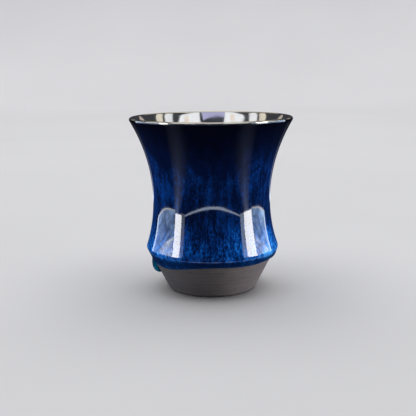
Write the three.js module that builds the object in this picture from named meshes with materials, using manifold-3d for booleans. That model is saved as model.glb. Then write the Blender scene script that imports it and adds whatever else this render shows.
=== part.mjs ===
// A tea sharing pitcher without handle or spout: a thrown stoneware cup with a flared lip, a waisted wall,
// a low belly ridge and a bare conical foot. A thick glaze runs down the outside and hangs in one drip under
// the ridge. Inside, a liner glaze carries a silver lining that turns over the lip.
//
// Millimetres, +Z up. The origin is on the table, in the middle of the foot. Angles round the axis are in
// degrees from the front (-Y), positive towards +X.

import * as THREE from 'three';
import { mergeVertices } from 'three/addons/utils/BufferGeometryUtils.js';
import Module from 'manifold-3d';

// Foot of the clay body
const FOOT_RADIUS = 23; // where the line of the cone meets the table
const FOOT_ROUNDING = 2.4;
const RECESS_RADIUS = 17; // hollow turned out of the underside
const RECESS_DEPTH = 1.8;
const RECESS_ROUNDING = 1;

// Outside of the clay body
const BELLY_RADIUS = 34.2; // corner of cone and wall, before it is rounded
const BELLY_HEIGHT = 22.4;
const BELLY_ROUNDING = 1.5;
const WAIST_RADIUS = 30.1;
const WAIST_HEIGHT = 47;
const LIP_RADIUS = 41.35; // middle of the lip's rounding
const LIP_HEIGHT = 89.6;
const LIP_THICKNESS = 1;
const FLARE_ANGLE = 30; // lean of the wall at the lip, from upright

// Inside of the clay body
const WAIST_WALL = 3;
const BELLY_WALL = 5.2;
const BOWL_RISE = 4.6; // from the belly ridge up to the widest place inside
const BOWL_FULLNESS = 0.78; // 0.55 makes the bottom a quarter ellipse, more makes it squarer
const FLOOR_THICKNESS = 6.2;

// Coats
const BOND_GAP = 0.1; // between a coat and what it covers or meets
const GLAZE_AT_LIP = 0.5;
const GLAZE_AT_WAIST = 0.65;
const GLAZE_AT_BELLY = 0.7;
const LINER_GLAZE = 0.2;
const SILVER = 0.2;
const SILVER_EDGE_ANGLE = 15; // where the silver ends outside the lip, up from the lip's widest place

// Lower edge of the outer glaze, on the bare cone
const EDGE_DROP = 4.9; // mean edge below the belly ridge
const EDGE_WAVE = 0.3;
const EDGE_WAVE_COUNT = 5;
const SAG_ANGLE = -58; // where the glaze has run lowest
const SAG_SPREAD = 32;
const SAG_DROP = 3.1;

// Hanging drip of glaze
const DRIP_ANGLE = -86;
const DRIP_LENGTH = 11.4; // from the mean edge to the tip
const DRIP_RADIUS = 1.8;
const DRIP_NECK_RADIUS = 0.8;
const DRIP_STAND_OFF = 0.2; // of its axis from the clay, at the mean edge
const DRIP_HANG = 0.7; // how much further its axis stands off at the tip, as it hangs more upright
const GATHER_DROP = 1.5; // how far the edge is drawn down into the drip
const GATHER_SPREAD = 9;

// Fineness of the facets
const TURN_STEPS = 48;
const CORNER_STEPS = 3;
const WALL_STEPS = 6;
const BOWL_STEPS = 5;
const DRIP_TURN_STEPS = 14;
const SAME_PLACE = 1e-3; // points nearer than this are one

const wasm = await Module();
wasm.setup();

const point = (r, z) => new THREE.Vector2(r, z);
const radians = THREE.MathUtils.degToRad;

// Arc that rounds the corner between two straight stretches.
function roundedCorner(before, corner, after, radius) {
  const back = before.clone().sub(corner).normalize();
  const ahead = after.clone().sub(corner).normalize();
  const half = Math.acos(back.dot(ahead)) / 2;
  const inward = back.clone().add(ahead).normalize();
  const centre = corner.clone().addScaledVector(inward, radius / Math.sin(half));
  const start = corner.clone().addScaledVector(back, radius / Math.tan(half));
  const end = corner.clone().addScaledVector(ahead, radius / Math.tan(half));
  const from = start.clone().sub(centre).angle();
  const to = end.clone().sub(centre).angle();
  const clockwise = back.cross(ahead) > 0;
  const arc = new THREE.EllipseCurve(centre.x, centre.y, radius, radius, from, to, clockwise);
  return arc.getPoints(CORNER_STEPS);
}

// One outline out of several stretches, each starting where the last one ended.
function chain(...stretches) {
  const outline = [];
  for (const stretch of stretches) {
    for (const next of stretch) {
      const last = outline.at(-1);
      if (!last || last.distanceTo(next) > SAME_PLACE) outline.push(next);
    }
  }
  return outline;
}

// Outline moved off the clay by a distance that may change from point to point.
function movedOff(outline, distanceAt) {
  return outline.map((here, i) => {
    const before = outline[Math.max(i - 1, 0)];
    const after = outline[Math.min(i + 1, outline.length - 1)];
    const along = after.clone().sub(before).normalize();
    const distance = distanceAt(here);
    const radius = here.x === 0 ? 0 : here.x + along.y * distance;
    return point(radius, here.y - along.x * distance);
  });
}

// Solid of revolution about +Z; angle 0 of the turn is at the front.
function revolved(outline, steps = TURN_STEPS) {
  const geometry = new THREE.LatheGeometry(outline, steps);
  geometry.rotateX(Math.PI / 2);
  return geometry;
}

function toSolid(geometry) {
  geometry.deleteAttribute('normal');
  geometry.deleteAttribute('uv');
  const closed = mergeVertices(geometry, SAME_PLACE);
  const vertProperties = closed.attributes.position.array;
  const triVerts = new Uint32Array(closed.index.array);
  return new wasm.Manifold(new wasm.Mesh({ numProp: 3, vertProperties, triVerts }));
}

function fromSolid(solid) {
  const mesh = solid.getMesh();
  const geometry = new THREE.BufferGeometry();
  geometry.setAttribute('position', new THREE.BufferAttribute(mesh.vertProperties, 3));
  geometry.setIndex(new THREE.BufferAttribute(mesh.triVerts, 1));
  geometry.computeVertexNormals();
  return geometry;
}

// Places on the clay's outline
const footCorner = point(FOOT_RADIUS, 0);
const bellyCorner = point(BELLY_RADIUS, BELLY_HEIGHT);
const waist = point(WAIST_RADIUS, WAIST_HEIGHT);
const lipCentre = point(LIP_RADIUS, LIP_HEIGHT);
const lipRounding = LIP_THICKNESS / 2;
const flare = radians(FLARE_ANGLE);
const outOfFlare = point(Math.cos(flare), -Math.sin(flare));
const lipOutside = lipCentre.clone().addScaledVector(outOfFlare, lipRounding);
const lipInside = lipCentre.clone().addScaledVector(outOfFlare, -lipRounding);
const innerWaist = point(WAIST_RADIUS - WAIST_WALL, WAIST_HEIGHT);
const bowl = point(BELLY_RADIUS - BELLY_WALL, BELLY_HEIGHT + BOWL_RISE);
const floorHeight = RECESS_DEPTH + FLOOR_THICKNESS;

// Where a line that leans like the flare, drawn down from the lip, meets the upright through the waist
const bendBelow = (from, to) => point(to.x, from.y - (from.x - to.x) / Math.tan(flare));

// Underside: recess, standing ring and the rounded edge of the foot
function underside() {
  const middle = point(0, RECESS_DEPTH);
  const recessCorner = point(RECESS_RADIUS, RECESS_DEPTH);
  const ringEdge = point(RECESS_RADIUS, 0);
  return chain(
    [middle],
    roundedCorner(middle, recessCorner, ringEdge, RECESS_ROUNDING),
    [ringEdge],
    roundedCorner(ringEdge, footCorner, bellyCorner, FOOT_ROUNDING),
  );
}

// Belly ridge, from the top of the cone round into the wall
const lowerBend = point(WAIST_RADIUS, (BELLY_HEIGHT + WAIST_HEIGHT) / 2);
const ridge = roundedCorner(footCorner, bellyCorner, lowerBend, BELLY_ROUNDING);

// Wall from the ridge over the waist up to the lip
function outerWall() {
  const lower = new THREE.QuadraticBezierCurve(ridge.at(-1), lowerBend, waist);
  const upper = new THREE.QuadraticBezierCurve(waist, bendBelow(lipOutside, waist), lipOutside);
  return chain(ridge, lower.getPoints(WALL_STEPS - 1), upper.getPoints(WALL_STEPS));
}

// Stretch of the lip's rounding between two angles up from its widest place
function lipArc(from, to) {
  const arc = new THREE.EllipseCurve(lipCentre.x, lipCentre.y, lipRounding, lipRounding, from, to);
  return arc.getPoints(CORNER_STEPS);
}

// Inside from the lip over the waist and the widest place down to the middle of the floor
function insideWall() {
  const upper = new THREE.QuadraticBezierCurve(lipInside, bendBelow(lipInside, innerWaist), innerWaist);
  const halfway = (innerWaist.y + bowl.y) / 2;
  const middle = new THREE.CubicBezierCurve(
    innerWaist,
    point(innerWaist.x, halfway),
    point(bowl.x, halfway),
    bowl,
  );
  const nearFloor = THREE.MathUtils.lerp(bowl.y, floorHeight, BOWL_FULLNESS);
  const bottom = new THREE.CubicBezierCurve(
    bowl,
    point(bowl.x, nearFloor),
    point(bowl.x * BOWL_FULLNESS, floorHeight),
    point(0, floorHeight),
  );
  return chain(upper.getPoints(WALL_STEPS), middle.getPoints(CORNER_STEPS), bottom.getPoints(BOWL_STEPS));
}

// The two coats that meet on the lip keep the bond gap between their edges.
const silverEdge = radians(SILVER_EDGE_ANGLE);
const glazeEdge = silverEdge - BOND_GAP / lipRounding;
const glazedOutline = chain(outerWall(), lipArc(-flare, glazeEdge));
const silveredOutline = chain(lipArc(silverEdge, Math.PI - flare), insideWall());

// Clay cup, in one piece with its foot
function stonewareBody() {
  return revolved(chain(underside(), glazedOutline, silveredOutline));
}

// Even coat over the lip and the whole inside
function insideCoat(from, thickness) {
  const under = movedOff(silveredOutline, () => from);
  const over = movedOff(silveredOutline, () => from + thickness);
  return revolved(chain(under.reverse(), over));
}

// The glaze thins from the belly, where it has gathered, up to the lip.
function glazeThickness(here) {
  if (here.y > WAIST_HEIGHT) {
    const share = (here.y - WAIST_HEIGHT) / (LIP_HEIGHT - WAIST_HEIGHT);
    return THREE.MathUtils.lerp(GLAZE_AT_WAIST, GLAZE_AT_LIP, Math.min(share, 1));
  }
  const share = (here.y - BELLY_HEIGHT) / (WAIST_HEIGHT - BELLY_HEIGHT);
  return THREE.MathUtils.lerp(GLAZE_AT_BELLY, GLAZE_AT_WAIST, Math.max(share, 0));
}

// Cone of the foot: its direction downwards and the one straight off it
const coneDown = footCorner.clone().sub(bellyCorner).normalize();
const coneOut = point(-coneDown.y, coneDown.x);
const downTo = (height) => (height - BELLY_HEIGHT) / coneDown.y;
const onCone = (height) => bellyCorner.clone().addScaledVector(coneDown, downTo(height));
const edgeHeight = BELLY_HEIGHT - EDGE_DROP;

// Rolled lower edge of the glaze, from the clay out to the full thickness
function rolledEdge() {
  const roll = new THREE.EllipseCurve(0, 0, GLAZE_AT_BELLY, GLAZE_AT_BELLY, 0, Math.PI / 2);
  const start = onCone(edgeHeight).addScaledVector(coneOut, BOND_GAP);
  return roll.getPoints(CORNER_STEPS).map((p) => {
    const back = GLAZE_AT_BELLY - p.x;
    return start.clone().addScaledVector(coneDown, -back).addScaledVector(coneOut, p.y);
  });
}

// Smooth hump round the axis: 1 at its middle, falling away over its spread
function hump(angle, middle, spread) {
  const turn = 2 * Math.PI;
  const away = THREE.MathUtils.euclideanModulo(angle - radians(middle) + turn / 2, turn) - turn / 2;
  return Math.exp(-((away / radians(spread)) ** 2));
}

// How far the glaze has run down at an angle round the axis, beyond the mean edge
function runDown(angle) {
  const sag = SAG_DROP * hump(angle, SAG_ANGLE, SAG_SPREAD);
  const gather = GATHER_DROP * hump(angle, DRIP_ANGLE, GATHER_SPREAD);
  return sag + gather - EDGE_WAVE * Math.cos(EDGE_WAVE_COUNT * angle);
}

// Pulls the part of the coat that lies on the cone down along it, the more the nearer to the edge.
function sagged(geometry) {
  const places = geometry.attributes.position;
  const coneTop = ridge[0].y;
  const here = new THREE.Vector3();
  for (let i = 0; i < places.count; i += 1) {
    here.fromBufferAttribute(places, i);
    const share = THREE.MathUtils.clamp((coneTop - here.z) / (coneTop - edgeHeight), 0, 1);
    const angle = Math.atan2(here.x, -here.y);
    const run = (share * runDown(angle)) / -coneDown.y;
    const radius = Math.hypot(here.x, here.y) + run * coneDown.x;
    places.setXYZ(i, radius * Math.sin(angle), -radius * Math.cos(angle), here.z + run * coneDown.y);
  }
  return geometry;
}

// Teardrop that hangs from the edge down the cone
function drip() {
  const head = DRIP_LENGTH - DRIP_RADIUS;
  const neck = point(DRIP_NECK_RADIUS, 0);
  const shoulder = point(DRIP_RADIUS, -head);
  const side = new THREE.QuadraticBezierCurve(neck, point(DRIP_NECK_RADIUS, -head / 2), shoulder);
  const tip = new THREE.EllipseCurve(0, -head, DRIP_RADIUS, DRIP_RADIUS, 0, -Math.PI / 2, true);
  const outline = chain([point(0, neck.y)], side.getPoints(CORNER_STEPS), tip.getPoints(CORNER_STEPS));
  outline.at(-1).setX(0);
  const geometry = revolved(outline.reverse(), DRIP_TURN_STEPS);
  const root = onCone(edgeHeight).addScaledVector(coneOut, DRIP_STAND_OFF);
  geometry.rotateX(Math.asin(-coneDown.x) - Math.atan(DRIP_HANG / head));
  geometry.translate(0, -root.x, root.y);
  geometry.rotateZ(radians(DRIP_ANGLE));
  return geometry;
}

// Outer glaze: the run coat with its drip, kept off the clay
function outerGlaze() {
  const under = movedOff(glazedOutline, () => BOND_GAP);
  const over = movedOff(glazedOutline, (here) => BOND_GAP + glazeThickness(here));
  const section = chain(rolledEdge(), over, under.reverse());
  section.push(section[0].clone());
  const coat = toSolid(sagged(revolved(section)));
  const clay = chain(underside(), glazedOutline);
  const lipMiddle = point(0, clay.at(-1).y);
  const keepOff = chain(movedOff(clay, () => BOND_GAP), [lipMiddle]);
  return fromSolid(coat.add(toSolid(drip()).subtract(toSolid(revolved(keepOff)))));
}

const bareClay = new THREE.MeshStandardMaterial({ color: 0x78706f, roughness: 0.92, metalness: 0 });
const blueGlaze = new THREE.MeshStandardMaterial({ color: 0x0b2f66, roughness: 0.1, metalness: 0 });
const darkGlaze = new THREE.MeshStandardMaterial({ color: 0x0a1226, roughness: 0.12, metalness: 0 });
const brightSilver = new THREE.MeshStandardMaterial({ color: 0xe9e6df, roughness: 0.08, metalness: 1 });

function named(name, geometry, material) {
  const mesh = new THREE.Mesh(geometry, material);
  mesh.name = name;
  return mesh;
}

const pitcher = new THREE.Group();
pitcher.add(
  named('stoneware_body', stonewareBody(), bareClay),
  named('outer_glaze', outerGlaze(), blueGlaze),
  named('liner_glaze', insideCoat(BOND_GAP, LINER_GLAZE), darkGlaze),
  named('silver_lining', insideCoat(BOND_GAP + LINER_GLAZE + BOND_GAP, SILVER), brightSilver),
);

export default pitcher;
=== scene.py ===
import math

import bpy
import numpy as np
from mathutils import Euler, Matrix, Vector, noise


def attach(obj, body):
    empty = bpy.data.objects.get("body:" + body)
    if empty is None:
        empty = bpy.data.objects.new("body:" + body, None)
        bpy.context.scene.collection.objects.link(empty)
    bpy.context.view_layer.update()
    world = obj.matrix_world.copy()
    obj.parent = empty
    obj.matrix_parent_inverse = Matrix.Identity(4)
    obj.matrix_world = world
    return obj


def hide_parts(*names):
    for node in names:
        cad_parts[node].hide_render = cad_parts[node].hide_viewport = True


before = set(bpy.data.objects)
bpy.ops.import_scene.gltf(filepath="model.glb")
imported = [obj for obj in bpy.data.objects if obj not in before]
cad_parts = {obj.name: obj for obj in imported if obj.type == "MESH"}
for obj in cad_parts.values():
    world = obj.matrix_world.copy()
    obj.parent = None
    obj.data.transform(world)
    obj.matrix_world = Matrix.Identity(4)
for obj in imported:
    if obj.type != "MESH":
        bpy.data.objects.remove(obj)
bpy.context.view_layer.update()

# The stoneware body is the clay cup with its foot, in one piece. It was thrown on the wheel, turned when it
# was leather hard and fired bare below the glaze. The turning tool left fine rings on the cone of the foot
# and in the shallow hollow of the underside.
foot_radius = 0.023
foot_rounding = 0.0024
recess_radius = 0.017
recess_depth = 0.0018
recess_rounding = 0.001
ring_edge_rounding = 0.0004
belly_radius = 0.0342
belly_height = 0.0224
belly_rounding = 0.0015
waist_radius = 0.0301
waist_height = 0.047
lip_radius = 0.04135
lip_height = 0.0896
lip_rounding = 0.0005
flare = math.radians(30)
waist_wall = 0.003
belly_wall = 0.0052
bowl_rise = 0.0046
bowl_fullness = 0.78
floor_thickness = 0.0062
silver_edge = math.radians(15)
tool_mark_depth = 0.00003
tool_mark_waves = ((0.00017, 0, 1), (0.00029, 1, 1), (0.00061, 2, 0.8))
tool_mark_fade = 0.001
tool_mark_spacing = 0.00013
turn_steps = 192
blank_size = 0.01
same_place = 1e-6
clay_grey = (0.036, 0.032, 0.035, 1)
clay_pale = (0.074, 0.063, 0.063, 1)
clay_iron = (0.022, 0.018, 0.018, 1)


def bezier(handles, steps):
    """Places along a curve that its handles draw."""
    places = []
    for step in range(steps + 1):
        line = [Vector(handle) for handle in handles]
        while len(line) > 1:
            line = [here.lerp(after, step / steps) for here, after in zip(line, line[1:])]
        places.append(line[0])
    return places


def straight(start, end, steps):
    """Places along a straight stretch."""
    return bezier((start, end), steps)


def arc(centre, radius, start_angle, end_angle, steps):
    """Places along an arc, its angles counted up from straight outwards."""
    angles = [start_angle + (end_angle - start_angle) * step / steps for step in range(steps + 1)]
    return [centre + radius * Vector((math.cos(angle), math.sin(angle))) for angle in angles]


def rounded(before, corner, after, radius, steps):
    """Places along the arc that rounds a corner."""
    back = (before - corner).normalized()
    ahead = (after - corner).normalized()
    half = back.angle(ahead) / 2
    centre = corner + (back + ahead).normalized() * (radius / math.sin(half))
    first = corner + back * (radius / math.tan(half)) - centre
    last = corner + ahead * (radius / math.tan(half)) - centre
    return [centre + radius * first.slerp(last, step / steps) for step in range(steps + 1)]


def chain(*stretches):
    """One outline out of stretches that follow each other."""
    outline = []
    for stretch in stretches:
        for place in stretch:
            if not outline or (place - outline[-1]).length > same_place:
                outline.append(place)
    return outline


def off(outline, distances):
    """The outline moved straight off the clay, by a distance for each of its places."""
    moved = []
    for index, (here, distance) in enumerate(zip(outline, distances)):
        before = outline[max(index - 1, 0)]
        after = outline[min(index + 1, len(outline) - 1)]
        run = (after - before).normalized()
        on_axis = here.x < same_place
        radius = 0 if on_axis else here.x + run.y * distance
        moved.append(Vector((radius, here.y - run.x * distance)))
    return moved


def thrown(name, outline, steps):
    """A round piece: a blank merged to one point, drawn out along the outline and turned about the axis."""
    bpy.ops.object.select_all(action="DESELECT")
    bpy.ops.mesh.primitive_plane_add(size=blank_size)
    piece = bpy.context.object
    piece.name = name
    piece.data.name = name
    bpy.ops.object.mode_set(mode="EDIT")
    bpy.ops.mesh.merge(type="CENTER")
    places = [Vector((0, -place.x, place.y)) for place in outline]
    bpy.ops.transform.translate(value=places[0])
    for here, after in zip(places, places[1:]):
        bpy.ops.mesh.extrude_region_move(TRANSFORM_OT_translate={"value": after - here})
    bpy.ops.object.mode_set(mode="OBJECT")
    bpy.ops.object.modifier_add(type="SCREW")
    turning = piece.modifiers["Screw"]
    turning.steps = steps
    turning.render_steps = steps
    bpy.ops.object.modifier_apply(modifier=turning.name)
    bpy.ops.object.mode_set(mode="EDIT")
    bpy.ops.mesh.select_all(action="SELECT")
    bpy.ops.mesh.remove_doubles(threshold=same_place)
    bpy.ops.mesh.normals_make_consistent(inside=False)
    bpy.ops.object.mode_set(mode="OBJECT")
    bpy.ops.object.shade_smooth()
    return piece


def tool_marks(outline):
    """The outline with the shallow uneven rings that a turning tool leaves."""
    length = 0
    depths = []
    for before, here in zip([outline[0]] + outline, outline):
        length += (here - before).length
        rings = 0
        for spacing, start, height in tool_mark_waves:
            rings += height * math.sin(length / spacing + start)
        fade = min(length / tool_mark_fade, 1)
        depths.append(tool_mark_depth * fade * rings)
    return off(outline, depths)


foot_corner = Vector((foot_radius, 0))
belly_corner = Vector((belly_radius, belly_height))
waist = Vector((waist_radius, waist_height))
lip_centre = Vector((lip_radius, lip_height))
out_of_flare = Vector((math.cos(flare), -math.sin(flare)))
lip_outside = lip_centre + out_of_flare * lip_rounding
lip_inside = lip_centre - out_of_flare * lip_rounding
inner_waist = Vector((waist_radius - waist_wall, waist_height))
bowl = Vector((belly_radius - belly_wall, belly_height + bowl_rise))
bowl_floor = Vector((0, recess_depth + floor_thickness))


def bend_below(lip_side, at_waist):
    """Handle that makes a wall leave the waist upright and reach the lip with its flare."""
    return Vector((at_waist.x, lip_side.y - (lip_side.x - at_waist.x) / math.tan(flare)))


recess_middle = Vector((0, recess_depth))
recess_corner = Vector((recess_radius, recess_depth))
ring_edge = Vector((recess_radius, 0))
recess_round = rounded(recess_middle, recess_corner, ring_edge, recess_rounding, steps=8)
ring_round = rounded(recess_corner, ring_edge, foot_corner, ring_edge_rounding, steps=5)
foot_round = rounded(ring_edge, foot_corner, belly_corner, foot_rounding, steps=12)
lower_bend = Vector((waist_radius, (belly_height + waist_height) / 2))
ridge = rounded(foot_corner, belly_corner, lower_bend, belly_rounding, steps=12)
recess_steps = round((recess_round[0] - recess_middle).length / tool_mark_spacing / 2)
cone_steps = round((ridge[0] - foot_round[-1]).length / tool_mark_spacing)
underside = chain(
    tool_marks(straight(recess_middle, recess_round[0], recess_steps)),
    recess_round,
    ring_round,
    foot_round,
)
cone = tool_marks(straight(foot_round[-1], ridge[0], cone_steps))
lower_wall = bezier((ridge[-1], lower_bend, waist), steps=24)
upper_wall = bezier((waist, bend_below(lip_outside, waist), lip_outside), steps=36)
outer_lip = arc(lip_centre, lip_rounding, -flare, silver_edge, steps=6)
inner_lip = arc(lip_centre, lip_rounding, silver_edge, math.pi - flare, steps=14)
upper_inside = bezier((lip_inside, bend_below(lip_inside, inner_waist), inner_waist), steps=36)
halfway = (inner_waist.y + bowl.y) / 2
middle_inside = bezier((inner_waist, (inner_waist.x, halfway), (bowl.x, halfway), bowl), steps=16)
near_floor = bowl.y + (bowl_floor.y - bowl.y) * bowl_fullness
near_axis = bowl.x * bowl_fullness
bottom_inside = bezier((bowl, (bowl.x, near_floor), (near_axis, bowl_floor.y), bowl_floor), steps=30)
outside = chain(ridge, lower_wall, upper_wall, outer_lip)
inside = chain(inner_lip, upper_inside, middle_inside, bottom_inside)

stoneware = thrown("stoneware", chain(underside, cone, outside, inside), turn_steps)


def new_finish(name, piece):
    """A new material on a piece, with its tree of nodes and its main shader."""
    finish = bpy.data.materials.new(name)
    finish.use_nodes = True
    piece.data.materials.append(finish)
    return finish.node_tree, finish.node_tree.nodes["Principled BSDF"]


def cloudy(tree, scale, stretch=(1, 1, 1), detail=3, roughness=0.5):
    """Soft noise on the piece's own coordinates, drawn out along an axis where its stretch is under 1."""
    place = tree.nodes.new("ShaderNodeTexCoord")
    mapping = tree.nodes.new("ShaderNodeMapping")
    mapping.inputs["Scale"].default_value = stretch
    clouds = tree.nodes.new("ShaderNodeTexNoise")
    clouds.inputs["Scale"].default_value = scale
    clouds.inputs["Detail"].default_value = detail
    clouds.inputs["Roughness"].default_value = roughness
    tree.links.new(place.outputs["Object"], mapping.inputs["Vector"])
    tree.links.new(mapping.outputs["Vector"], clouds.inputs["Vector"])
    return clouds.outputs["Fac"]


def between(tree, value, low, high, to_low=0.0, to_high=1.0):
    """A value brought from one range to another, and kept inside it."""
    ranged = tree.nodes.new("ShaderNodeMapRange")
    ranged.inputs["From Min"].default_value = low
    ranged.inputs["From Max"].default_value = high
    ranged.inputs["To Min"].default_value = to_low
    ranged.inputs["To Max"].default_value = to_high
    tree.links.new(value, ranged.inputs["Value"])
    return ranged.outputs["Result"]


def reckoned(tree, how, first, second):
    """A value worked out from two others; the second may be a plain number."""
    working = tree.nodes.new("ShaderNodeMath")
    working.operation = how
    tree.links.new(first, working.inputs[0])
    if isinstance(second, (int, float)):
        working.inputs[1].default_value = second
    else:
        tree.links.new(second, working.inputs[1])
    return working.outputs["Value"]


def shaded(tree, value, stops):
    """Colours picked from a row of stops by a value."""
    ramp = tree.nodes.new("ShaderNodeValToRGB")
    stretch = ramp.color_ramp.elements
    while len(stretch) < len(stops):
        stretch.new(1.0)
    for element, (position, colour) in zip(stretch, stops):
        element.position = position
        element.color = colour
    tree.links.new(value, ramp.inputs["Fac"])
    return ramp.outputs["Color"]


def mixed(tree, share, first, second):
    """Two colours mixed by a share; either may be a plain colour."""
    mix = tree.nodes.new("ShaderNodeMix")
    mix.data_type = "RGBA"
    tree.links.new(share, mix.inputs["Factor"])
    for name, colour in (("A", first), ("B", second)):
        socket = [entry for entry in mix.inputs if entry.name == name and entry.type == "RGBA"][0]
        if isinstance(colour, tuple):
            socket.default_value = colour
        else:
            tree.links.new(colour, socket)
    return [entry for entry in mix.outputs if entry.type == "RGBA"][0]


def bumped(tree, height, distance, strength, shader):
    """Fine unevenness in the shading of a surface."""
    bump = tree.nodes.new("ShaderNodeBump")
    bump.inputs["Strength"].default_value = strength
    bump.inputs["Distance"].default_value = distance
    tree.links.new(height, bump.inputs["Height"])
    tree.links.new(bump.outputs["Normal"], shader.inputs["Normal"])


tree, shader = new_finish("bare_stoneware", stoneware)
grain = cloudy(tree, scale=1400, detail=4, roughness=0.65)
patches = cloudy(tree, scale=90, stretch=(1, 1, 2.5), detail=3)
iron = between(tree, cloudy(tree, scale=620, detail=2), 0.68, 0.76)
body_colour = mixed(tree, between(tree, grain, 0.3, 0.7), clay_grey, clay_pale)
turned_lines = cloudy(tree, scale=1300, stretch=(0.03, 0.03, 1), detail=2)
body_colour = mixed(tree, between(tree, turned_lines, 0.35, 0.65, 0, 0.5), body_colour, clay_grey)
body_colour = mixed(tree, between(tree, patches, 0.35, 0.7, 0, 0.55), body_colour, clay_grey)
body_colour = mixed(tree, iron, body_colour, clay_iron)
tree.links.new(body_colour, shader.inputs["Base Color"])
tree.links.new(between(tree, grain, 0.3, 0.7, 0.78, 0.95), shader.inputs["Roughness"])
bumped(tree, grain, 0.00012, 0.7, shader)
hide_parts("stoneware_body")
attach(stoneware, "root")

# The outer glaze is a thick blue glass. It was poured over the outside and ran down in the firing: thin and
# nearly black at the lip, gathered on the belly, and stopped on the bare cone in a rolled, uneven edge that
# has sunk lowest at the left, where one run hangs from it.
glaze_at_lip = 0.0006
glaze_at_waist = 0.00075
glaze_at_belly = 0.0008
glaze_bite = 0.0001
glaze_wave = 0.000018
broad_wave_scale = 70
fine_wave_scale = 150
fine_wave_share = 0.4
lean_to_right = 0.25
edge_height = 0.0175
roll_length = 0.0015
roll_steps = 10
edge_wave = 0.0003
edge_wave_count = 5
bead_angle = math.radians(80)
bead_spread = math.radians(45)
bead_thickness = 0.0004
bead_rise = 0.002
bead_fall = 0.0012
sag_angle = math.radians(-58)
sag_spread = math.radians(32)
sag_drop = 0.0035
gather_drop = 0.0017
gather_spread = math.radians(9)
drip_angle = math.radians(-86)
drip_start = -0.0002
drip_tip = 0.0104
drip_head = 0.0038
drip_thickness = 0.003
drip_neck_width = 0.0028
drip_head_width = 0.0042
drip_flare_width = 0.0030
drip_flare_length = 0.0016
flank_start = 0.2
flank_rise = 0.25
crest_start = 0.7
crest_dimming = 0.75
crowding = 0.85
crowding_spread = math.radians(12)
outer_face_sharpness = 4
glaze_steps = 288
cone_glaze_steps = 100
cone_back_steps = 20
blue_bottom = 0.02
blue_top = 0.09
ridge_line_height = 0.0212
ridge_line_width = 0.0004
glaze_night = (0.0003, 0.0006, 0.0030, 1)
glaze_deep = (0.0005, 0.0050, 0.0300, 1)
glaze_blue = (0.0012, 0.0280, 0.1500, 1)
glaze_bright = (0.0050, 0.1000, 0.4000, 1)
glaze_sky = (0.0300, 0.2400, 0.6500, 1)
glaze_pale = (0.0700, 0.3400, 0.7800, 1)
glaze_pool = (0.0003, 0.0062, 0.0330, 1)
glaze_edge = (0.0008, 0.0280, 0.1050, 1)
glaze_ridge_pale = (0.1100, 0.1700, 0.3400, 1)
glaze_teal_highlight = (0.0040, 0.1300, 0.2200, 1)

cone_down = (foot_corner - belly_corner).normalized()
cone_out = Vector((-cone_down.y, cone_down.x))
cone_top = ridge[0]
edge_reach = (cone_top.y - edge_height) / -cone_down.y


def on_cone(reach, distance):
    """Place on the cone by its reach down from the ridge and its distance off the clay."""
    return cone_top + cone_down * reach + cone_out * distance


def glaze_thickness(height):
    """Thickness of the run glaze at a height."""
    heights = (belly_height, waist_height, lip_height)
    return float(np.interp(height, heights, (glaze_at_belly, glaze_at_waist, glaze_at_lip)))


roll = []
for step in range(roll_steps + 1):
    turn = math.pi / 2 * step / roll_steps
    drawn_back = roll_length * (1 - math.cos(turn))
    risen = (glaze_at_belly + glaze_bite) * math.sin(turn) - glaze_bite
    roll.append(on_cone(edge_reach - drawn_back, risen))
roll_top = on_cone(edge_reach - roll_length, glaze_at_belly)
cone_glaze = straight(roll_top, on_cone(0, glaze_at_belly), cone_glaze_steps)
wall_glaze = off(outside, [glaze_thickness(place.y) for place in outside])
glaze_back = off(outside, [-glaze_bite for place in outside])
cone_back = straight(on_cone(0, -glaze_bite), on_cone(edge_reach, -glaze_bite), cone_back_steps)
glaze_outline = chain(roll, cone_glaze, wall_glaze, glaze_back[::-1], cone_back)
glaze = thrown("blue_outer_glaze", glaze_outline, glaze_steps)


def turned_from(angles, middle):
    """How far angles are turned from a middle one, the short way round."""
    return (angles - middle + math.pi) % (2 * math.pi) - math.pi


def hump(angles, middle, spread):
    """Smooth rise round the axis: 1 at its middle, falling away over its spread."""
    return np.exp(-((turned_from(angles, middle) / spread) ** 2))


def read_places(mesh):
    """The places of a mesh's points, one row each."""
    places = np.empty(len(mesh.vertices) * 3)
    mesh.vertices.foreach_get("co", places)
    return places.reshape(-1, 3)


def read_normals(mesh):
    """The directions that a mesh's points face, one row each."""
    normals = np.empty(len(mesh.vertices) * 3)
    mesh.vertex_normals.foreach_get("vector", normals)
    return normals.reshape(-1, 3)


def write_places(mesh, places):
    """Puts a mesh's points at new places."""
    mesh.vertices.foreach_set("co", places.ravel())
    mesh.update()


places = read_places(glaze.data)
normals = read_normals(glaze.data)
angles = np.arctan2(places[:, 0], -places[:, 1])
radii = np.hypot(places[:, 0], places[:, 1])
heights = places[:, 2]
faces_out = normals[:, 0] * np.sin(angles) - normals[:, 1] * np.cos(angles)
shows = np.clip(faces_out * outer_face_sharpness, 0, 1)

# Points crowd together round the drip, so that its narrow shape is drawn finely.
angles = angles - crowding * turned_from(angles, drip_angle) * hump(angles, drip_angle, crowding_spread)

# The coat is thicker at the right and thinner at the left, and gently uneven all over.
low = np.clip((waist_height - heights) / (waist_height - belly_height), 0, 1)
broad_waves = np.array([noise.noise(Vector(place) * broad_wave_scale) for place in places])
fine_waves = np.array([noise.noise(Vector(place) * fine_wave_scale) for place in places])
waves = broad_waves + fine_wave_share * fine_waves
swell = glaze_at_belly * lean_to_right * np.sin(angles) * low * low + glaze_wave * waves
reach = (radii - cone_top.x) * cone_down.x + (heights - cone_top.y) * cone_down.y
height_off = (radii - cone_top.x) * cone_out.x + (heights - cone_top.y) * cone_out.y
on_wall = reach < 0
radii = radii + swell * shows * faces_out * on_wall
heights = heights + swell * shows * normals[:, 2] * on_wall

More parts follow.
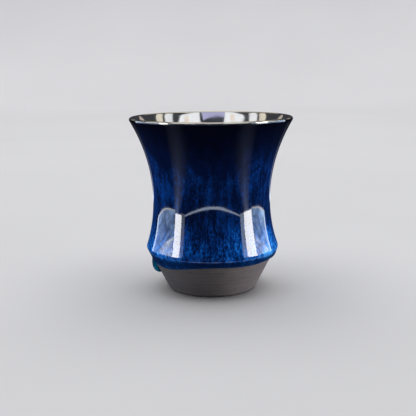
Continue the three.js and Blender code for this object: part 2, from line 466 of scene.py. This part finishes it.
# On the cone it has run down to an edge that sags at the left, with the drip below that edge.
edge = edge_reach + sag_drop * hump(angles, sag_angle, sag_spread)
edge = edge + gather_drop * hump(angles, drip_angle, gather_spread)
edge = edge - edge_wave * np.cos(edge_wave_count * angles)
drip_radius = cone_top.x + cone_down.x * (edge_reach + drip_tip / 2)
beside = np.abs(turned_from(angles, drip_angle)) * drip_radius
head_top = edge_reach + drip_tip - drip_head
past_side = np.clip(beside / (drip_head_width / 2), 0, 1)
drip_end = head_top + drip_head * np.sqrt(1 - past_side ** 2)
fading = np.clip((drip_head_width - beside) / (drip_head_width / 2), 0, 1)
lowest = np.maximum(edge, edge + (drip_end - edge) * fading)
reach = np.where(on_wall, reach, reach * lowest / edge_reach)

# How thick the glass is there: the coat with its rolled edge and the slight bead at the right, and the
# drip, which leaves the edge in a funnel, hangs further and further off the cone and ends in a round head.
from_edge = np.clip((edge - reach) / roll_length, 0, 1)
bead_length = np.clip(reach / bead_rise, 0, 1) * np.clip((edge - reach) / bead_fall, 0, 1)
bead = bead_thickness * hump(angles, bead_angle, bead_spread) * bead_length
coat_off = (glaze_at_belly + glaze_bite + swell + bead) * np.sqrt(1 - (1 - from_edge) ** 2)
hanging = np.clip((reach - edge_reach - drip_start) / (head_top - edge_reach - drip_start), 0, 1)
past_head = np.clip(reach - head_top, 0, None) / drip_head
funnel = drip_flare_width * np.exp(-np.clip(reach - edge, 0, None) / drip_flare_length)
drip_width = drip_neck_width + (drip_head_width - drip_neck_width) * hanging ** 2 + funnel
drip_shape = np.sqrt(np.clip(1 - (beside / (drip_width / 2)) ** 2 - past_head ** 2, 0, 1))
drip_off = drip_thickness * np.sin(hanging * math.pi / 2) * drip_shape
glass_off = np.cbrt(coat_off ** 3 + drip_off ** 3) - glaze_bite
off_clay = np.where(height_off > -glaze_bite / 2, glass_off, -glaze_bite)
radii = np.where(on_wall, radii, cone_top.x + reach * cone_down.x + off_clay * cone_out.x)
heights = np.where(on_wall, heights, cone_top.y + reach * cone_down.y + off_clay * cone_out.y)
write_places(glaze.data, np.column_stack((radii * np.sin(angles), -radii * np.cos(angles), heights)))


def marked(mesh, name, values):
    """Keeps a value for each point of a mesh, which its colour can follow."""
    mark = mesh.attributes.new(name, "FLOAT", "POINT")
    mark.data.foreach_set("value", values.astype(np.float32))


# What the colour follows below the ridge: how far down to the edge the glass has pooled, how far it hangs
# off the cone in the drip, and where a painted highlight lies on the thin flanks of the drip's head, partly
# the lighter colour of its thinner glass.
flank = np.clip((drip_shape - flank_start) / flank_rise, 0, 1)
crest = np.clip((drip_shape - crest_start) / flank_rise, 0, 1)
flank = flank * (1 - crest_dimming * crest)
marked(glaze.data, "pooled", np.where(on_wall, 0, np.clip(reach / edge, 0, 1)))
marked(glaze.data, "hangs", np.where(on_wall, 0, drip_off / drip_thickness))
marked(glaze.data, "glows", np.where(on_wall, 0, flank * hanging ** 2))


def own_axes(tree):
    """The piece's own coordinates, axis by axis."""
    place = tree.nodes.new("ShaderNodeTexCoord")
    split = tree.nodes.new("ShaderNodeSeparateXYZ")
    tree.links.new(place.outputs["Object"], split.inputs["Vector"])
    return split.outputs


def mark_of(tree, name):
    """A value that was kept for the points of the piece."""
    mark = tree.nodes.new("ShaderNodeAttribute")
    mark.attribute_name = name
    return mark.outputs["Fac"]


# The glass is bluest on the belly and nearly black at the lip. Painted shade makes it darker at the front
# and back than at the sides, and painted light makes it a little brighter towards the right. Streaks,
# clouds, mottling, flecks and dark spots break it up. A pale line is drawn along the ridge, and the glass
# is dark again where it has pooled below.
tree, shader = new_finish("blue_run_glaze", glaze)
axes = own_axes(tree)
blue_up = (
    (0.0, 0.70),
    (0.1, 0.65),
    (0.2, 0.39),
    (0.33, 0.28),
    (0.5, 0.29),
    (0.68, 0.20),
    (0.84, 0.07),
    (1.0, 0.0),
)
up_wall = between(tree, axes["Z"], blue_bottom, blue_top)
depth_down = shaded(tree, up_wall, [(share, (grey, grey, grey, 1)) for share, grey in blue_up])
streaks = cloudy(tree, scale=420, stretch=(1, 1, 0.12), detail=4, roughness=0.6)
clouds = cloudy(tree, scale=45, stretch=(1, 1, 0.7), detail=2)
mottle = cloudy(tree, scale=260, stretch=(1, 1, 0.4), detail=4, roughness=0.6)
flecks = cloudy(tree, scale=1250, stretch=(1, 1, 0.45), detail=2)
spots = cloudy(tree, scale=700, stretch=(1, 1, 0.6), detail=1)
from_middle = reckoned(tree, "ABSOLUTE", axes["Y"], 0)
# Painted shade: the glass is made darker at the front and back than at the sides.
painted_front_back_shade = between(tree, from_middle, 0.016, 0.034, 1.0, 0.49)
fleck_share = between(tree, axes["Z"], 0.028, 0.045, 1.0, 0.5)
fleck_rise = reckoned(tree, "MULTIPLY", between(tree, flecks, 0.36, 0.66, -0.5, 0.6), fleck_share)
amount = depth_down
for share in (
    painted_front_back_shade,
    # Painted light: the glass is made a little brighter towards the right.
    between(tree, axes["X"], 0.0, 0.035, 1.0, 1.2),
    between(tree, streaks, 0.3, 0.7, 0.6, 1.4),
    between(tree, clouds, 0.3, 0.7, 0.5, 1.5),
    between(tree, mottle, 0.32, 0.68, 0.68, 1.32),
    reckoned(tree, "ADD", fleck_rise, 1.0),
    between(tree, spots, 0.28, 0.36, 0.4, 1.0),
):
    amount = reckoned(tree, "MULTIPLY", amount, share)
glass_colour = shaded(tree, between(tree, amount, 0, 2), [
    (0.0, glaze_night),
    (0.08, glaze_deep),
    (0.21, glaze_blue),
    (0.4, glaze_bright),
    (0.7, glaze_sky),
    (1.0, glaze_pale),
])
pooled = mark_of(tree, "pooled")
pool_colour = mixed(tree, between(tree, pooled, 0.6, 1.0, 0, 0.8), glaze_pool, glaze_edge)
glass_colour = mixed(tree, between(tree, pooled, 0.0, 0.3, 0, 0.9), glass_colour, pool_colour)
# A pale line drawn along the ridge, fainter at the far left.
ridge_line = between(tree, axes["Z"], ridge_line_height - ridge_line_width, ridge_line_height)
for share in (
    between(tree, axes["Z"], ridge_line_height, ridge_line_height + ridge_line_width, 1, 0),
    between(tree, mottle, 0.4, 0.6, 0.1, 0.8),
    between(tree, axes["X"], -0.028, -0.01, 0.3, 1.0),
):
    ridge_line = reckoned(tree, "MULTIPLY", ridge_line, share)
glass_colour = mixed(tree, ridge_line, glass_colour, glaze_ridge_pale)
hanging_part = between(tree, mark_of(tree, "hangs"), 0.2, 0.5, 0, 0.9)
glass_colour = mixed(tree, hanging_part, glass_colour, glaze_pool)
# Painted highlight: teal on the drip's thin flanks, partly the lighter colour of thin glass.
painted_highlight_share = between(tree, mark_of(tree, "glows"), 0, 1, 0, 0.85)
glass_colour = mixed(tree, painted_highlight_share, glass_colour, glaze_teal_highlight)
tree.links.new(glass_colour, shader.inputs["Base Color"])
ripple = cloudy(tree, scale=90, stretch=(1, 1, 0.5), detail=1)
tree.links.new(between(tree, streaks, 0.3, 0.7, 0.03, 0.06), shader.inputs["Roughness"])
shader.inputs["IOR"].default_value = 1.52
bumped(tree, ripple, 0.0002, 0.1, shader)
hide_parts("outer_glaze")
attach(glaze, "root")

# The liner glaze is a thin dark glass, poured into the cup and out again before the firing. It gives the
# silver a smooth ground, and only a hair of it can show where the silver stops on the lip.
liner_top = 0.0003
liner_dark = (0.0030, 0.0060, 0.0180, 1)
liner_cool = (0.0060, 0.0120, 0.0320, 1)
liner_face = off(inside, [liner_top for place in inside])
liner_back = off(inside, [-glaze_bite for place in inside])
liner = thrown("dark_liner_glaze", chain(liner_back[::-1], liner_face), turn_steps)
tree, shader = new_finish("dark_liner_glass", liner)
liner_colour = mixed(tree, between(tree, cloudy(tree, scale=300), 0.35, 0.65), liner_dark, liner_cool)
tree.links.new(liner_colour, shader.inputs["Base Color"])
tree.links.new(between(tree, cloudy(tree, scale=500), 0.3, 0.7, 0.08, 0.16), shader.inputs["Roughness"])
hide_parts("liner_glaze")
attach(liner, "root")

# The silver lining is pure silver, laid over the liner glaze by hand, fired and burnished until it is a
# gently uneven mirror. It turns over the lip and stops there in a thin bright line, worn slightly warm
# where cloths touch it.
silver_under = 0.0003
silver_top = 0.0006
silver_wave = 0.00006
silver_wave_scale = 85
silver_bright = (0.93, 0.92, 0.90, 1)
silver_soft = (0.86, 0.85, 0.83, 1)
silver_warm = (0.93, 0.85, 0.70, 1)
silver_face = off(inside, [silver_top for place in inside])
silver_back = off(inside, [silver_under for place in inside])
silver = thrown("silver_inner_lining", chain(silver_back[::-1], silver_face), turn_steps)
places = read_places(silver.data)
normals = read_normals(silver.data)
waves = np.array([noise.noise(Vector(place) * silver_wave_scale) for place in places])
write_places(silver.data, places + normals * (silver_wave * waves)[:, None])
tree, shader = new_finish("burnished_silver", silver)
tarnish = cloudy(tree, scale=160, detail=4, roughness=0.6)
silver_colour = mixed(tree, between(tree, tarnish, 0.35, 0.7), silver_bright, silver_soft)
worn_from = lip_height + 0.0003
worn_to = lip_height + 0.0009
on_lip = between(tree, own_axes(tree)["Z"], worn_from, worn_to, 0, 0.8)
silver_colour = mixed(tree, on_lip, silver_colour, silver_warm)
tree.links.new(silver_colour, shader.inputs["Base Color"])
tree.links.new(between(tree, tarnish, 0.3, 0.75, 0.04, 0.13), shader.inputs["Roughness"])
shader.inputs["Metallic"].default_value = 1.0
bumped(tree, cloudy(tree, scale=420, detail=3), 0.00004, 0.15, shader)
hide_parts("silver_lining")
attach(silver, "root")

# The table is a wide round sheet of plain pale card that curves up all round into a backdrop. The glaze
# and the silver don't mirror it, as if black cards lay on it just outside the picture.
table_radius = 1.5
sweep_rounding = 0.6
table_pale = (0.66, 0.66, 0.68, 1)
table_shade = (0.63, 0.63, 0.65, 1)
table_middle = Vector((0, 0))
table_edge = Vector((table_radius, 0))
sweep = arc(Vector((table_radius, sweep_rounding)), sweep_rounding, -math.pi / 2, 0, steps=16)
table = thrown("table", chain(straight(table_middle, table_edge, steps=4), sweep), steps=96)
tree, shader = new_finish("pale_card", table)
table_colour = mixed(tree, between(tree, cloudy(tree, scale=3), 0.3, 0.7), table_pale, table_shade)
tree.links.new(table_colour, shader.inputs["Base Color"])
shader.inputs["Roughness"].default_value = 0.85
table.visible_glossy = False

# The lamps are soft panels that the camera doesn't see. A wide one overhead lights all but the silver. For
# the pitcher alone, a bright strip and a softer wall stand at each side, and sills and glows lie on the
# table. A low lamp lights the clay, and the silver has panels of its own to mirror, in a dim room.
side_distance = 0.30
strip_top = 0.14
post_top = 0.15
wall_top = 0.054
window_top = 0.1
end_length = 0.03
strip_glow = 17
window_glow = 6.5
wall_sill_glow = 5
left_wall_glow = 4.2
right_wall_glow = 5.6
left_blue = (0.42, 0.62, 1)
right_blue = (0.42, 0.63, 1)
window_tint = (0.8, 0.89, 1)
end_tint = (0.7, 0.82, 1)


def lit_alone(name, *pieces):
    """A collection of the pieces that some lamps are kept to."""
    lit = bpy.data.collections.new(name)
    for piece in pieces:
        lit.objects.link(piece)
    return lit


all_pieces = lit_alone("all_pieces", stoneware, glaze, liner, silver)
all_but_silver = lit_alone("all_but_silver", stoneware, glaze, liner, table)
silver_alone = lit_alone("silver_alone", silver)
clay_alone = lit_alone("clay_alone", stoneware)


def softbox(name, lit, place, aim, width, height, brightness, tint=(1, 1, 1)):
    """A plain rectangular lamp of an even brightness, kept to the pieces that it lights."""
    bpy.ops.object.light_add(type="AREA", location=place)
    lamp = bpy.context.object
    lamp.name = name
    lamp.data.shape = "RECTANGLE"
    lamp.data.size = width
    lamp.data.size_y = height
    lamp.data.energy = brightness * math.pi * width * height
    lamp.data.color = tint
    lamp.rotation_euler = (Vector(aim) - Vector(place)).to_track_quat("-Z", "Y").to_euler()
    lamp.visible_camera = False
    lamp.light_linking.receiver_collection = lit
    return lamp


def side_panel(name, side, front, back, bottom, top, brightness, tint=(1, 1, 1)):
    """An upright lamp at a side, given by its ends in Y and in height."""
    place = (side * side_distance, (front + back) / 2, (bottom + top) / 2)
    aim = (0, (front + back) / 2, (bottom + top) / 2)
    return softbox(name, all_pieces, place, aim, back - front, top - bottom, brightness, tint)


def lamp_face(lamp):
    """The nodes of a lamp, its glow, and the place across its face that the glow can follow."""
    lamp.data.use_nodes = True
    tree = lamp.data.node_tree
    face = tree.nodes.new("ShaderNodeNewGeometry")
    return tree, tree.nodes["Emission"], face.outputs["Parametric"]


def creased(lamp):
    """Lets a lamp glow unevenly, as through creased cloth."""
    tree, glow, face = lamp_face(lamp)
    folds = tree.nodes.new("ShaderNodeTexNoise")
    folds.inputs["Scale"].default_value = 2
    folds.inputs["Detail"].default_value = 1
    folds.inputs["Distortion"].default_value = 1.5
    tree.links.new(face, folds.inputs["Vector"])
    strength = between(tree, folds.outputs["Fac"], 0.35, 0.65, 0.45, 1.55)
    tree.links.new(strength, glow.inputs["Strength"])


left_front = -0.102
left_back = 0.16
left_foot = -0.002
left_sill_top = 0.001
left_post_tint = (0.8, 0.88, 1)
side_panel("left_strip", -1, front=-0.193, back=-0.107, bottom=0.005, top=strip_top, brightness=strip_glow)
side_panel("left_sill", -1, left_front, left_back, left_foot, left_sill_top, wall_sill_glow)
left_wall = side_panel(
    "left_wall", -1, left_front, left_back, left_sill_top, wall_top, left_wall_glow, left_blue
)
creased(left_wall)
left_window = side_panel(
    "left_window", -1, left_front, left_back, wall_top, window_top, window_glow, window_tint
)
creased(left_window)
left_end = left_back + end_length
side_panel("left_end", -1, left_back, left_end, left_foot, window_top, window_glow, end_tint)
side_panel(
    "left_post", -1, front=-0.245, back=-0.196, bottom=0, top=post_top, brightness=1.8, tint=left_post_tint
)
right_front = -0.057
right_back = 0.13
right_foot = -0.004
right_sill_top = -0.0005
right_post_tint = (0.75, 0.87, 1)
side_panel("right_strip", 1, front=-0.166, back=-0.058, bottom=0, top=strip_top, brightness=strip_glow)
side_panel("right_sill", 1, right_front, right_back, right_foot, right_sill_top, wall_sill_glow)
right_wall = side_panel(
    "right_wall", 1, right_front, right_back, right_sill_top, wall_top, right_wall_glow, right_blue
)
creased(right_wall)
right_window = side_panel(
    "right_window", 1, right_front, right_back, wall_top, window_top, window_glow, window_tint
)
creased(right_window)
right_end = right_back + end_length
side_panel("right_end", 1, right_back, right_end, right_foot, window_top, window_glow, end_tint)
side_panel(
    "right_post", 1, front=-0.222, back=-0.169, bottom=0, top=post_top, brightness=3.6, tint=right_post_tint
)

# The lamps on the table: a narrow sill in front and one behind, and a soft glow out to each side.
lying_height = 0.001
sill_distance = 0.262
sill_tint = (0.72, 0.82, 1)
glow_across = 0.265
glow_ahead = 0.113
glow_length = 0.42
glow_depth = 0.072
glow_turn = 14.5
glow_brightness = 1.6
glow_tint = (0.68, 0.77, 1)
face_middle = 0.5
fade_length = 0.45


def floor_panel(name, across, along, length, depth, turn, brightness, tint):
    """A lamp that lies on the table, turned about its middle."""
    place = (across, along, lying_height)
    lamp = softbox(name, all_pieces, place, (across, along, 1), length, depth, brightness, tint)
    lamp.rotation_euler.rotate_axis("Z", math.radians(turn))
    return lamp


def soft_ended(lamp):
    """Lets a lamp fade out from its middle to its edges."""
    tree, glow, face = lamp_face(lamp)
    split = tree.nodes.new("ShaderNodeSeparateXYZ")
    tree.links.new(face, split.inputs["Vector"])
    from_end = reckoned(tree, "PINGPONG", split.outputs["X"], face_middle)
    from_side = reckoned(tree, "PINGPONG", split.outputs["Y"], face_middle)
    end_fade = between(tree, from_end, 0, fade_length)
    side_fade = between(tree, from_side, 0, fade_length)
    tree.links.new(reckoned(tree, "MULTIPLY", end_fade, side_fade), glow.inputs["Strength"])


floor_panel(
    "front_sill", 0.01, -sill_distance, length=0.67, depth=0.03, turn=-1, brightness=6, tint=sill_tint
)
back_sill = floor_panel(
    "back_sill", 0, sill_distance, length=0.36, depth=0.045, turn=1, brightness=4.5, tint=sill_tint
)
soft_ended(back_sill)
for side, name in ((-1, "left"), (1, "right")):
    across = side * glow_across
    turn = side * glow_turn
    glow = floor_panel(
        f"{name}_glow", across, -glow_ahead, glow_length, glow_depth, turn, glow_brightness, glow_tint
    )
    soft_ended(glow)

# The wide lamp overhead, and the low lamp for the clay, a little warm, at the right.
softbox("ceiling", all_but_silver, (0, 0.6, 2.2), (0, 0.5, 0), width=4.2, height=3.6, brightness=2.1)
low_place = (0.35, -0.1, 0.12)
low_aim = (0, 0, 0.01)
low_tint = (1, 0.89, 0.84)
softbox("low_lamp", clay_alone, low_place, low_aim, width=0.2, height=0.2, brightness=15, tint=low_tint)

# The silver's own panels: at each side a wide one with a warm spot, a narrow rail, a cream one and a small
# one low down, then one in front, one behind and one overhead, and a closed dim room round them all.
mouth = (0, 0, 0.09)
panel_aim = (0, 0.03, 0.085)
panel_height = 0.24
panel_brightness = 0.92
panel_turn = 30
panel_tint = (0.93, 0.96, 1)
rail_tint = (0.95, 0.97, 1)
cream_tint = (1, 0.92, 0.76)
spot_tint = (1, 0.85, 0.7)
front_tint = (0.63, 0.62, 1)
back_tint = (1, 0.93, 0.82)
warm_tint = (0.93, 0.78, 0.64, 1)
warm_across = 0.6
warm_to = 0.09
plain_from = 0.16
plain_white = (1, 1, 1, 1)
room_distance = 1.6
room_height = 2.4
room_brightness = 0.04
room_tint = (0.8, 0.88, 1)


def warm_spotted(lamp, where):
    """Lets a lamp glow warmer in one round spot."""
    tree, glow, face = lamp_face(lamp)
    away = tree.nodes.new("ShaderNodeVectorMath")
    away.operation = "DISTANCE"
    away.inputs[1].default_value = where
    tree.links.new(face, away.inputs[0])
    tint = mixed(tree, between(tree, away.outputs["Value"], warm_to, plain_from), warm_tint, plain_white)
    tree.links.new(tint, glow.inputs["Color"])


for side, name, across, ahead, width, warm_up in (
    (-1, "left", 0.405, 0.349, 0.38, 0.62),
    (1, "right", 0.39, 0.37, 0.45, 0.7),
):
    place = (side * across, -ahead, 0.70)
    panel = softbox(
        f"{name}_panel", silver_alone, place, panel_aim, width, panel_height, panel_brightness, panel_tint
    )
    panel.rotation_euler.rotate_axis("Z", math.radians(-side * panel_turn))
    warm_spotted(panel, (warm_across, warm_up, 0))
    place = (side * 0.63, -0.01, 0.60)
    softbox(
        f"{name}_rail", silver_alone, place, mouth, width=0.16, height=0.3, brightness=0.85, tint=rail_tint
    )
    place = (side * 0.57, 0.18, 0.51)
    softbox(
        f"{name}_cream", silver_alone, place, mouth, width=0.13, height=0.2, brightness=0.7, tint=cream_tint
    )
    place = (side * 0.33, 0.50, 0.27)
    softbox(
        f"{name}_spot", silver_alone, place, mouth, width=0.11, height=0.1, brightness=0.4, tint=spot_tint
    )
place = (-0.045, -0.418, 0.842)
aim = (0, 0.04, 0.085)
softbox("front_panel", silver_alone, place, aim, width=0.40, height=0.15, brightness=0.6, tint=front_tint)
place = (0, 0.9, 1.15)
softbox("back_panel", silver_alone, place, mouth, width=1.4, height=0.8, brightness=0.5, tint=back_tint)
softbox("top_panel", silver_alone, (0, 0.1, 1.3), (0, 0.05, 0), width=1.2, height=0.9, brightness=0.75)
room_width = 2 * room_distance
for quarter in range(4):
    across = room_distance * math.sin(quarter * math.pi / 2)
    ahead = room_distance * math.cos(quarter * math.pi / 2)
    place = (across, -ahead, room_height / 2)
    aim = (0, 0, room_height / 2)
    wall_name = f"dim_wall_{quarter}"
    softbox(wall_name, silver_alone, place, aim, room_width, room_height, room_brightness, room_tint)
place = (0, 0, room_height)
softbox("dim_top", silver_alone, place, (0, 0, 0), room_width, room_width, room_brightness, room_tint)

# The room beyond the lamps is nearly black, and the picture keeps its plain colours.
room_dark = (0.012, 0.012, 0.016, 1)
scene = bpy.context.scene
scene.view_settings.view_transform = "Standard"
world = bpy.data.worlds.new("studio")
scene.world = world
world.use_nodes = True
world.node_tree.nodes["Background"].inputs["Color"].default_value = room_dark

# The camera looks at the pitcher from the front and slightly from above, with the long lens and the slight
# lean that fit the perspective of the photo.
camera_place = (0, -0.40971, 0.11925)
camera_lens = 67.98
camera_tilt = math.radians(79.352)
camera_turn = math.radians(0.2735)
camera_lean = math.radians(-0.55)
bpy.ops.object.camera_add(location=camera_place)
camera = bpy.context.object
camera.data.lens = camera_lens
camera.data.sensor_width = 36
look = Euler((camera_tilt, 0, camera_turn)).to_matrix() @ Matrix.Rotation(camera_lean, 3, "Z")
camera.rotation_euler = look.to_euler()
scene.camera = camera
